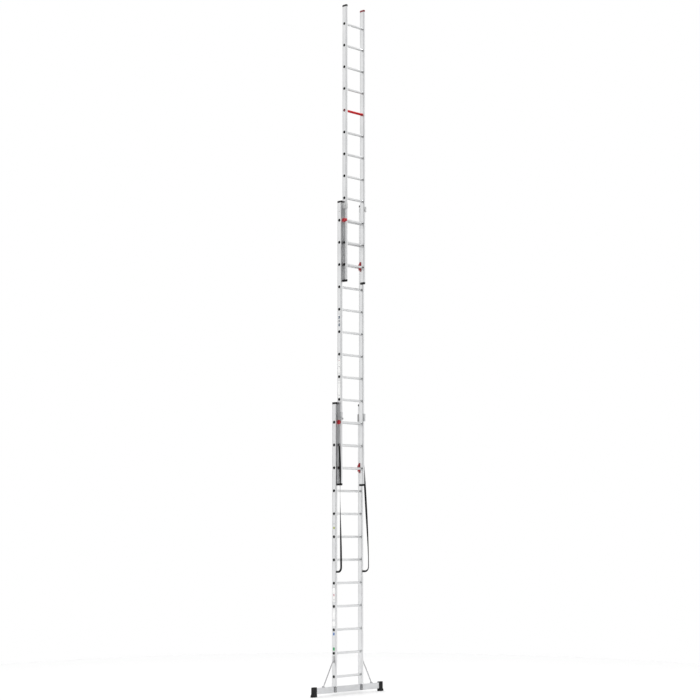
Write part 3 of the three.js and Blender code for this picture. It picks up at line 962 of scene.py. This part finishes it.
def hook_mesh():
    """A plate with an eye, cut clear of both rungs over its whole swing."""
    eye = [(HOOK_PIVOT[0] + HOOK_EYE * math.cos(math.radians(a)),
            HOOK_PIVOT[1] + HOOK_EYE * math.sin(math.radians(a))) for a in range(180, 361, 12)]
    outline = eye + [(4, -29), (4, 33), (-23, 68.5), (-25, 70), (-33, 70), (-34.5, 68)]
    bm = bmesh.new()
    prism(bm, [(y * MM, z * MM) for y, z in outline], 0, HOOK_THICKNESS, place=in_yz)
    radius = HOOK_CLEAR_RADIUS * MM
    start, end = HOOK_CUT_FROM_TO
    for rung_y in (0, OWN_RUNG_Y):
        dy, dz = rung_y - HOOK_PIVOT[0], -HOOK_PIVOT[1]
        for step in range(HOOK_CUTS):
            turn = -math.radians(HOOK_OPENS_DEG) * step / (HOOK_CUTS - 1)
            y = HOOK_PIVOT[0] + dy * math.cos(turn) - dz * math.sin(turn)
            z = HOOK_PIVOT[1] + dy * math.sin(turn) + dz * math.cos(turn)
            cutter = bmesh.new()
            spin(cutter, [(0, start), (radius, start), (radius, end), (0, end)],
                 (0, y * MM, z * MM), (1, 0, 0), 56)
            mesh = cut(bm, cutter)
            bm = bmesh.new()
            bm.from_mesh(mesh)
            bpy.data.meshes.remove(mesh)
    # A sliver of the plate may stay beside the rung, so only the largest island is kept.
    bmesh.ops.remove_doubles(bm, verts=bm.verts, dist=0.02 * MM)
    bmesh.ops.dissolve_limit(bm, angle_limit=math.radians(0.5), verts=bm.verts, edges=bm.edges)
    keep = largest_island(bm)
    bmesh.ops.delete(bm, geom=[vert for vert in bm.verts if vert not in keep], context="VERTS")
    rims = [edge for edge in bm.edges if edge.calc_face_angle(0) > math.radians(60)
            and abs(edge.verts[0].co.x - edge.verts[1].co.x) < 1e-6]
    round_edges(bm, rims, 0.9 * MM)
    return bm


HOOK_SHAPE = bpy.data.meshes.new("hook_shape")
shape = hook_mesh()
shape.to_mesh(HOOK_SHAPE)
shape.free()


def hook(section, side, sign):
    """A hook on its own body, which has the node's name, and its bolt on the section."""
    node = f"{side}_{section}_hook"
    low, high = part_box(node)
    own_rung = middle_of(f"{section}_rung_01")
    centre_y = own_rung.y - OWN_RUNG_Y * MM
    inner = low.x if sign > 0 else high.x
    bm = bmesh.new()
    bm.from_mesh(HOOK_SHAPE)
    for vert in bm.verts:
        vert.co = Vector((inner + sign * vert.co.x, centre_y + vert.co.y, own_rung.z + vert.co.z))
    add_piece(f"{node}_jaw", bm, RED_PLASTIC, node, [node])
    bolts = bmesh.new()
    pivot = Vector((inner, centre_y + HOOK_PIVOT[0] * MM, own_rung.z + HOOK_PIVOT[1] * MM))
    bolt(bolts, pivot, (-sign, 0, 0), 10 * MM, 3.6 * MM)
    add_piece(f"{node}_pivot_bolt", bolts, STEEL, body_name(section))


for section in ("middle", "top"):
    stop_rod(section)
    for side, sign in SIDES:
        hook(section, side, sign)


# -------------------------------- strap fixings, rivets and labels

# (radius, height) of the button's washer and its rivet
BUTTON_MM = [(0, 0), (9, 0), (9, 0.9), (8.2, 1.4), (4.6, 1.4), (4.2, 3.2), (2.8, 3.9), (0, 3.9)]


def strap_fixings(side, sign):
    """A riveted button on the strap's upper end, and an anchor behind its lower one."""
    top, bottom = strap_lines[side][0], strap_lines[side][-1]
    button = bmesh.new()
    spin(button, [(radius * MM, out * MM) for radius, out in BUTTON_MM],
         Vector((top.x + sign * 1 * MM, top.y - 1 * MM, top.z - 15 * MM)), (sign, 0, 0), 32)
    add_piece(f"{side}_strap_button", button, STEEL, "middle_section")
    anchor = bmesh.new()
    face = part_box(f"{side}_bottom_stile")[0].y
    block(anchor, (bottom.x - 8 * MM, face - 9 * MM, bottom.z - 11 * MM),
          (bottom.x + 8 * MM, face - 0.2 * MM, bottom.z + 11 * MM), 2 * MM, 1.2 * MM)
    add_piece(f"{side}_strap_anchor", anchor, BLACK_PLASTIC, "bottom_section")


def face_rivets(section, z):
    """Nearly flush rivets on the outer faces, low enough to pass the guides below."""
    bm = bmesh.new()
    for side, sign in SIDES:
        low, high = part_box(f"{side}_{section}_stile")
        x = high.x if sign > 0 else low.x
        rivet(bm, Vector((x, (low.y + high.y) / 2, z)), (sign, 0, 0), 6 * MM, crown=0.12)
    add_piece(f"{section}_face_rivets", bm, STEEL, body_name(section))


for side, sign in SIDES:
    strap_fixings(side, sign)
face_rivets("middle", 5933 * MM)

# Generic labels on the left outer faces: section, lower and upper edge, width, and coloured fields
# as (from, to, inset, ink) with from and to as shares of the label's height.
LABELS_MM = [
    ("middle", 4481, 4630, 38,
     [(0.04, 0.3, 5, "slate"), (0.36, 0.62, 5, "grey"), (0.68, 0.94, 5, "slate")]),
    ("middle", 3886, 4085, 44,
     [(0.88, 0.92, 9, "pink"), (0.5, 0.53, 9, "grey"), (0.1, 0.13, 9, "grey")]),
    ("middle", 3606, 3810, 44, [(0.86, 0.89, 9, "grey"), (0.1, 0.13, 9, "grey")]),
    ("bottom", 1116, 1280, 44,
     [(0.4, 0.6, 10, "pink"), (0.05, 0.09, 9, "grey"), (0.17, 0.21, 9, "grey")]),
    ("bottom", 910, 1024, 44, [(0.12, 0.15, 9, "grey"), (0.85, 0.88, 9, "grey")]),
    ("bottom", 828, 880, 44, []),
    ("bottom", 711, 753, 30, [(0.06, 0.94, 2, "blue")]),
    ("bottom", 530, 575, 36, [(0.05, 0.95, 2, "green")]),
]
ROUND_LABELS_MM = [("bottom", 2059, 7, "grey"), ("bottom", 2010, 15, "lime")]  # height, radius
PAPER = (0.02 * MM, 0.22 * MM)  # its back and its front, out from the stile
INK = (0.2 * MM, 0.3 * MM)


def label(number, section, low_mm, high_mm, width_mm, fields):
    """A paper sheet with raised coloured fields; the sheet carries a painted glow."""
    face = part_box(f"left_{section}_stile")[0].x
    y = middle_of(f"left_{section}_stile").y
    half, tall_mm = width_mm / 2 * MM, high_mm - low_mm
    bm = bmesh.new()
    materials = [LABEL_WHITE_PAINTED_GLOW]
    sheet = rounded_outline(y - half, low_mm * MM, y + half, high_mm * MM, 2 * MM)
    prism(bm, sheet, face - PAPER[1], face - PAPER[0], place=in_yz)
    for start, end, inset_mm, ink in fields:
        edge = half - inset_mm * MM
        z0, z1 = (low_mm + start * tall_mm) * MM, (low_mm + end * tall_mm) * MM
        field = rounded_outline(y - edge, z0, y + edge, z1, min(1.5 * MM, (z1 - z0) / 2.5))
        for made in prism(bm, field, face - INK[1], face - INK[0], place=in_yz):
            made.material_index = len(materials)
        materials.append(INKS[ink])
    add_piece(f"label_{number}", bm, materials, body_name(section))


def round_label(number, section, z_mm, radius_mm, ink):
    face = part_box(f"left_{section}_stile")[0].x
    y = middle_of(f"left_{section}_stile").y
    radius = radius_mm * MM
    bm = bmesh.new()
    spin(bm, [(0, PAPER[0]), (radius, PAPER[0]), (radius, PAPER[1] - 0.02 * MM), (0, PAPER[1])],
         (face, y, z_mm * MM), (-1, 0, 0), 40)
    add_piece(f"round_label_{number}", bm, INKS[ink], body_name(section))


for number, entry in enumerate(LABELS_MM, 1):
    label(number, *entry)
for number, entry in enumerate(ROUND_LABELS_MM, 1):
    round_label(number, *entry)


# -------------------------------- floor, light and world

KEY_LIGHT_PLACE = (-2, -2, 15)
KEY_LIGHT_SIZE = 3
KEY_LIGHT_WATTS = 700
FLOOR_RADIUS = 7
FLOOR_SIDES = 96
FLOOR_GREY = 0.96
DIM_SIDE = (-0.707, -0.707, 0)
# Where a ramp starts and ends, and the sky's strength at each.
SIDE_RAMP = (0.1, 0.8, 1.05, 0.14)
HEIGHT_RAMP = (-0.6, -0.1, 0.6, 1.0)


def key_light():
    """One soft light, high above the object and aimed at its foot."""
    data = bpy.data.lights.new("key", "AREA")
    data.shape = "SQUARE"
    data.size = KEY_LIGHT_SIZE
    data.energy = KEY_LIGHT_WATTS
    light = bpy.data.objects.new("key", data)
    light.location = KEY_LIGHT_PLACE
    light.rotation_mode = "QUATERNION"
    light.rotation_quaternion = (-Vector(KEY_LIGHT_PLACE)).to_track_quat("-Z", "Y")
    bpy.context.scene.collection.objects.link(light)


def studio_world():
    """A sky that is dim behind the camera and below the horizon, and looks white to the camera."""
    world = bpy.data.worlds.new("studio")
    world.use_nodes = True
    tree = world.node_tree

    def node(kind, **settings):
        made = tree.nodes.new(kind)
        for key, value in settings.items():
            setattr(made, key, value)
        return made

    def ramp(source, start, end, low, high):
        ranged = node("ShaderNodeMapRange", interpolation_type="SMOOTHSTEP")
        for key, value in zip(("From Min", "From Max", "To Min", "To Max"), (start, end, low, high)):
            ranged.inputs[key].default_value = value
        tree.links.new(source, ranged.inputs["Value"])
        return ranged.outputs["Result"]

    direction = node("ShaderNodeTexCoord").outputs["Generated"]
    front_left = node("ShaderNodeVectorMath", operation="DOT_PRODUCT")
    front_left.inputs[1].default_value = DIM_SIDE
    tree.links.new(direction, front_left.inputs[0])
    height = node("ShaderNodeSeparateXYZ")
    tree.links.new(direction, height.inputs[0])
    dim = ramp(front_left.outputs["Value"], *SIDE_RAMP)
    ground = ramp(height.outputs["Z"], *HEIGHT_RAMP)
    both = node("ShaderNodeMath", operation="MULTIPLY")
    tree.links.new(dim, both.inputs[0])
    tree.links.new(ground, both.inputs[1])
    seen = node("ShaderNodeMix", data_type="FLOAT")
    tree.links.new(node("ShaderNodeLightPath").outputs["Is Camera Ray"], seen.inputs[0])
    tree.links.new(both.outputs["Value"], seen.inputs[2])
    seen.inputs[3].default_value = 1.0
    background = tree.nodes["Background"]
    background.inputs["Color"].default_value = (1, 1, 1, 1)
    tree.links.new(seen.outputs[0], background.inputs["Strength"])
    bpy.context.scene.world = world


def floor():
    """A round pale floor."""
    mesh = bpy.data.meshes.new("floor")
    turns = [2 * math.pi * i / FLOOR_SIDES for i in range(FLOOR_SIDES)]
    ring = [(FLOOR_RADIUS * math.cos(turn), FLOOR_RADIUS * math.sin(turn), 0) for turn in turns]
    mesh.from_pydata(ring, [], [tuple(range(FLOOR_SIDES))])
    paint = Paint("floor_paint")
    paint.set(colour=(FLOOR_GREY,) * 3, metal=0.0, rough=0.9)
    mesh.materials.append(paint.material)
    made = bpy.data.objects.new("floor", mesh)
    bpy.context.scene.collection.objects.link(made)


floor()
studio_world()
key_light()
bpy.context.scene.view_settings.view_transform = "Standard"
